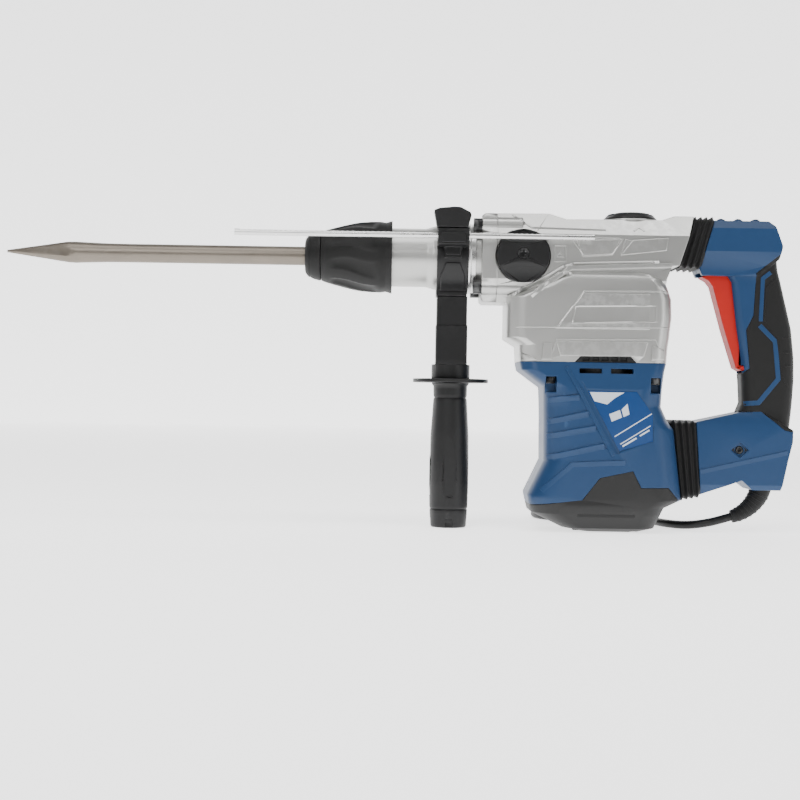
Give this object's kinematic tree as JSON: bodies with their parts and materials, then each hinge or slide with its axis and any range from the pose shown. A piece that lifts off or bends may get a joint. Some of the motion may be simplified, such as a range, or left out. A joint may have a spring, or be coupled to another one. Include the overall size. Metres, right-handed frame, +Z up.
{
  "type": "rotary hammer",
  "caption": "Electric rotary hammer with upright motor, D-shaped rear handle, side grip with depth rod, and a pointed chisel in its chuck.",
  "frame": {"origin": "centre of the foot on the floor, below the motor's axis", "axes": "+Z up, the spindle along X with the tool at -X and the rear handle at +X"},
  "size_m": [0.7617, 0.2437, 0.3055],
  "materials": {
    "cast_alloy": "as cast, satin",
    "dark_steel": "blackened",
    "blue_plastic": "fine moulded grain",
    "dark_plastic": "fine moulded grain",
    "label_film": "glossy film",
    "core_steel": "laminated",
    "copper_windings": "enamelled copper",
    "brush_carbon": "carbon",
    "bearing_steel": "ground",
    "forged_alloy": "machined",
    "soft_rubber": "matt",
    "chisel_steel": "dull, brownish grey",
    "bright_steel": "bright zinc",
    "red_plastic": "satin"
  },
  "bodies": {
    "casing": {"gear_housing": "cast_alloy", "front_housing": "cast_alloy", "index_ring": "dark_steel", "front_housing_screws": "dark_steel", "air_outlet_grilles": "dark_plastic", "bearing_flange": "cast_alloy", "motor_housing": "blue_plastic", "motor_end_cover": "dark_plastic", "motor_housing_screws": "dark_steel", "end_cover_screws": "dark_steel", "label_plates": "label_film", "stator_core": "core_steel", "stator_windings": "copper_windings", "brush_holders": "dark_plastic", "carbon_brushes": "brush_carbon", "motor_bearings": "bearing_steel", "gear_shaft_bearings": "bearing_steel", "spindle_bearings": "bearing_steel", "nose_seal": "soft_rubber", "upper_bellows": "soft_rubber", "lower_bellows": "soft_rubber", "damper_springs": "bearing_steel"},
    "armature": {"armature_shaft": "bearing_steel", "armature_core": "core_steel", "commutator": "copper_windings", "cooling_fan": "dark_plastic"},
    "crank": {"crank_shaft": "bearing_steel", "crank_gear": "bearing_steel"},
    "intermediate": {"intermediate_shaft": "bearing_steel", "intermediate_gear": "bearing_steel"},
    "spindle": {"spindle": "bearing_steel", "ring_bevel_gear": "bearing_steel", "dust_cap": "soft_rubber", "chuck_spring": "bearing_steel"},
    "chuck_sleeve": {"locking_sleeve": "soft_rubber"},
    "chisel": {"chisel": "chisel_steel"},
    "impact_bolt": {"impact_bolt": "bearing_steel"},
    "striker": {"striker": "bearing_steel"},
    "piston": {"piston": "forged_alloy", "wrist_pin": "bearing_steel"},
    "connecting_rod": {"connecting_rod": "forged_alloy"},
    "mode_knob": {"mode_knob": "dark_plastic", "mode_knob_screw": "dark_steel"},
    "top_selector": {"top_selector": "dark_plastic"},
    "side_handle": {"handle_band": "dark_plastic", "handle_stem": "dark_plastic"},
    "side_grip": {"side_grip": "soft_rubber"},
    "depth_rod": {"depth_rod": "bright_steel"},
    "depth_lock_knob": {"depth_lock_knob": "dark_plastic"},
    "rear_handle": {"handle_shell_left": "blue_plastic", "handle_shell_right": "blue_plastic", "grip_overmould": "soft_rubber", "handle_screws": "dark_steel", "switch_body": "dark_plastic", "cord_boot": "soft_rubber", "cord_lead": "soft_rubber", "cord_coil": "soft_rubber", "mains_plug": "soft_rubber"},
    "trigger": {"trigger": "red_plastic"}
  },
  "joints": [
    {"name": "motor_spin", "type": "hinge", "parent": "casing", "child": "armature", "pos_m": [0, 0, 0.1], "axis": [0, 0, 1], "continuous": true},
    {"name": "crank_spin", "type": "hinge", "parent": "casing", "child": "crank", "pos_m": [0.03015, 0, 0.2], "axis": [0, 0, 1], "continuous": true},
    {"name": "intermediate_spin", "type": "hinge", "parent": "casing", "child": "intermediate", "pos_m": [-0.03615, 0, 0.2], "axis": [0, 0, 1], "continuous": true},
    {"name": "spindle_spin", "type": "hinge", "parent": "casing", "child": "spindle", "pos_m": [-0.1, 0, 0.26], "axis": [1, 0, 0], "continuous": true},
    {"name": "sleeve_slide", "type": "slide", "parent": "spindle", "child": "chuck_sleeve", "axis": [1, 0, 0], "range_m": [0, 0.01], "stiffness_N_per_m": 1500, "springref_m": -0.008, "deforming": ["chuck_spring"]},
    {"name": "chisel_slide", "type": "slide", "parent": "spindle", "child": "chisel", "axis": [1, 0, 0], "range_m": [-0.006, 0.006]},
    {"name": "impact_bolt_slide", "type": "slide", "parent": "spindle", "child": "impact_bolt", "axis": [1, 0, 0], "range_m": [0, 0.004]},
    {"name": "striker_slide", "type": "slide", "parent": "spindle", "child": "striker", "axis": [1, 0, 0], "range_m": [-0.004, 0.012]},
    {"name": "piston_slide", "type": "slide", "parent": "casing", "child": "piston", "axis": [1, 0, 0], "range_m": [-0.024, 0]},
    {"name": "connecting_rod_swing", "type": "hinge", "parent": "piston", "child": "connecting_rod", "pos_m": [-0.00785, 0, 0.26], "axis": [0, 0, 1], "range_deg": [-13, 13]},
    {"name": "mode_knob_turn", "type": "hinge", "parent": "casing", "child": "mode_knob", "pos_m": [-0.078, -0.038, 0.26], "axis": [0, 1, 0], "range_deg": [-90, 90]},
    {"name": "top_selector_turn", "type": "hinge", "parent": "casing", "child": "top_selector", "pos_m": [0.0278, 0, 0.298], "axis": [0, 0, 1], "range_deg": [-60, 60]},
    {"name": "side_handle_swing", "type": "hinge", "parent": "casing", "child": "side_handle", "pos_m": [-0.1443, 0, 0.26], "axis": [1, 0, 0], "range_deg": [-180, 0]},
    {"name": "side_grip_twist", "type": "hinge", "parent": "side_handle", "child": "side_grip", "pos_m": [-0.1435, 0, 0.07], "axis": [0, 0, 1], "range_deg": [-180, 180]},
    {"name": "depth_rod_slide", "type": "slide", "parent": "side_handle", "child": "depth_rod", "axis": [1, 0, 0], "range_m": [-0.12, 0.1]},
    {"name": "depth_lock_turn", "type": "hinge", "parent": "side_handle", "child": "depth_lock_knob", "pos_m": [-0.1443, -0.048, 0.285], "axis": [0, 0, 1], "range_deg": [0, 90]},
    {"name": "rear_handle_slide", "type": "slide", "parent": "casing", "child": "rear_handle", "axis": [1, 0, 0], "range_m": [-0.003, 0.003], "stiffness_N_per_m": 12000, "deforming": ["upper_bellows", "lower_bellows", "damper_springs"]},
    {"name": "trigger_press", "type": "hinge", "parent": "rear_handle", "child": "trigger", "pos_m": [0.1364, 0, 0.158], "axis": [0, 1, 0], "range_deg": [0, 5], "stiffness_Nm_per_rad": 3, "springref_deg": -8.59}
  ],
  "couplings": [
    {"joint": "crank_spin", "follows": "motor_spin", "ratio": -0.2766},
    {"joint": "intermediate_spin", "follows": "motor_spin", "ratio": -0.22034},
    {"joint": "spindle_spin", "follows": "motor_spin", "ratio": 0.073446}
  ]
}
